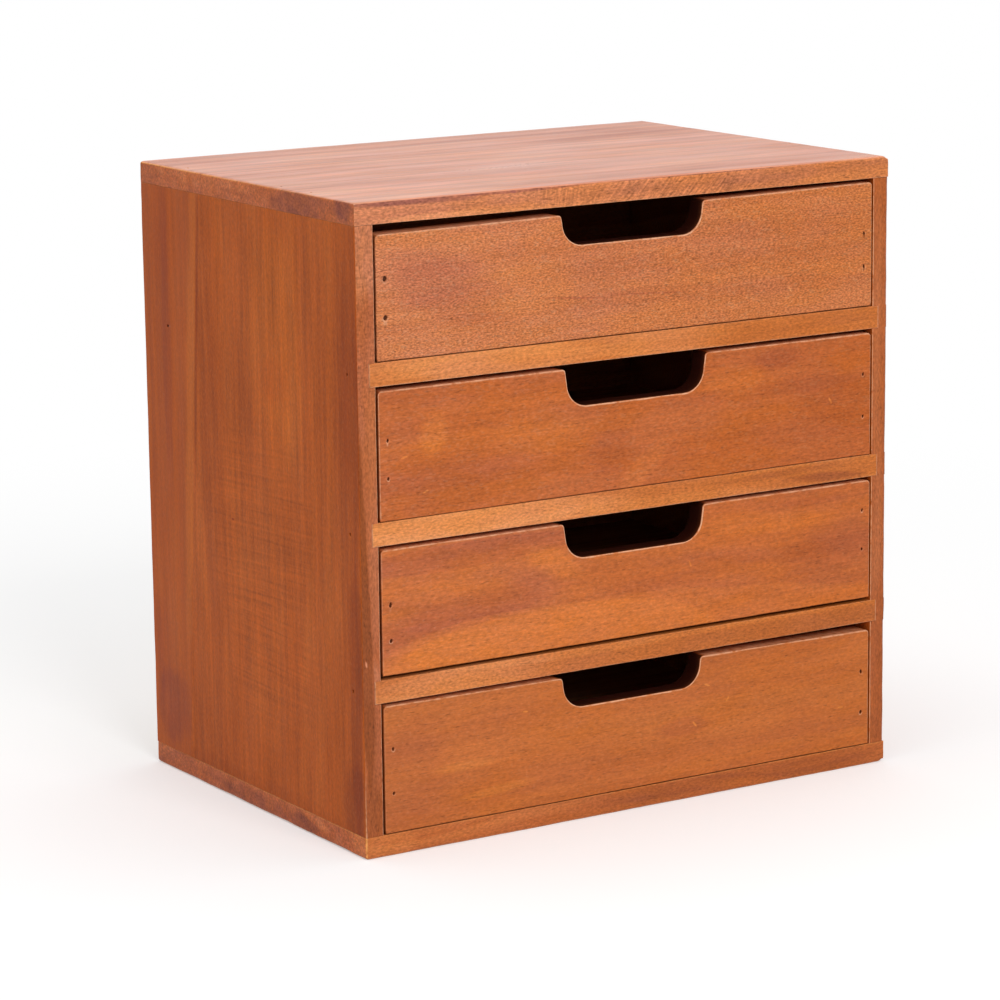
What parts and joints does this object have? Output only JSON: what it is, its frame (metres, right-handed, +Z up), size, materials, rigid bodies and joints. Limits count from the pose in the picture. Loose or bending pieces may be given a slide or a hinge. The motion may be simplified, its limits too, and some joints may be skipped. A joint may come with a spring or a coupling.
{
  "type": "desktop mini drawers",
  "caption": "Small wooden desktop cabinet with stacked sliding drawers, each with a finger cut-out in its front, for sorting craft parts.",
  "frame": {"origin": "middle of the underside, on the surface the cabinet stands on", "axes": "+Z up, the drawer fronts face -Y, +X to the right as seen from the front"},
  "size_m": [0.245, 0.17, 0.248],
  "materials": {
    "stained_top": "stained and satin varnished, grain left to right",
    "stained_side": "darker stain, satin varnish, upright grain",
    "stained_frame": "stained, satin varnish, grain left to right",
    "stained_front": "stained, satin varnish, grain left to right, worn pale edges",
    "plain_wood": "sanded, unstained",
    "plywood": "thin plywood, sanded",
    "brad_steel": "bright wire"
  },
  "bodies": {
    "case": {"top_board": "stained_top", "bottom_board": "stained_frame", "left_side_front_stave": "stained_side", "left_side_rear_stave": "stained_side", "right_side_front_stave": "stained_side", "right_side_rear_stave": "stained_side", "upper_divider": "stained_frame", "middle_divider": "stained_frame", "lower_divider": "stained_frame", "back_panel": "plywood", "top_brads": "brad_steel", "bottom_brads": "brad_steel", "left_side_brads": "brad_steel", "right_side_brads": "brad_steel", "back_brads": "brad_steel"},
    "drawer_1": {"drawer_1_front": "stained_front", "drawer_1_left_side": "plain_wood", "drawer_1_right_side": "plain_wood", "drawer_1_back": "plain_wood", "drawer_1_bottom": "plywood", "drawer_1_brads": "brad_steel"},
    "drawer_2": {"drawer_2_front": "stained_front", "drawer_2_left_side": "plain_wood", "drawer_2_right_side": "plain_wood", "drawer_2_back": "plain_wood", "drawer_2_bottom": "plywood", "drawer_2_brads": "brad_steel"},
    "drawer_3": {"drawer_3_front": "stained_front", "drawer_3_left_side": "plain_wood", "drawer_3_right_side": "plain_wood", "drawer_3_back": "plain_wood", "drawer_3_bottom": "plywood", "drawer_3_brads": "brad_steel"},
    "drawer_4": {"drawer_4_front": "stained_front", "drawer_4_left_side": "plain_wood", "drawer_4_right_side": "plain_wood", "drawer_4_back": "plain_wood", "drawer_4_bottom": "plywood", "drawer_4_brads": "brad_steel"}
  },
  "joints": [
    {"name": "drawer_1_slide", "type": "slide", "parent": "case", "child": "drawer_1", "axis": [0, -1, 0], "range_m": [0, 0.125]},
    {"name": "drawer_2_slide", "type": "slide", "parent": "case", "child": "drawer_2", "axis": [0, -1, 0], "range_m": [0, 0.125]},
    {"name": "drawer_3_slide", "type": "slide", "parent": "case", "child": "drawer_3", "axis": [0, -1, 0], "range_m": [0, 0.125]},
    {"name": "drawer_4_slide", "type": "slide", "parent": "case", "child": "drawer_4", "axis": [0, -1, 0], "range_m": [0, 0.125]}
  ]
}
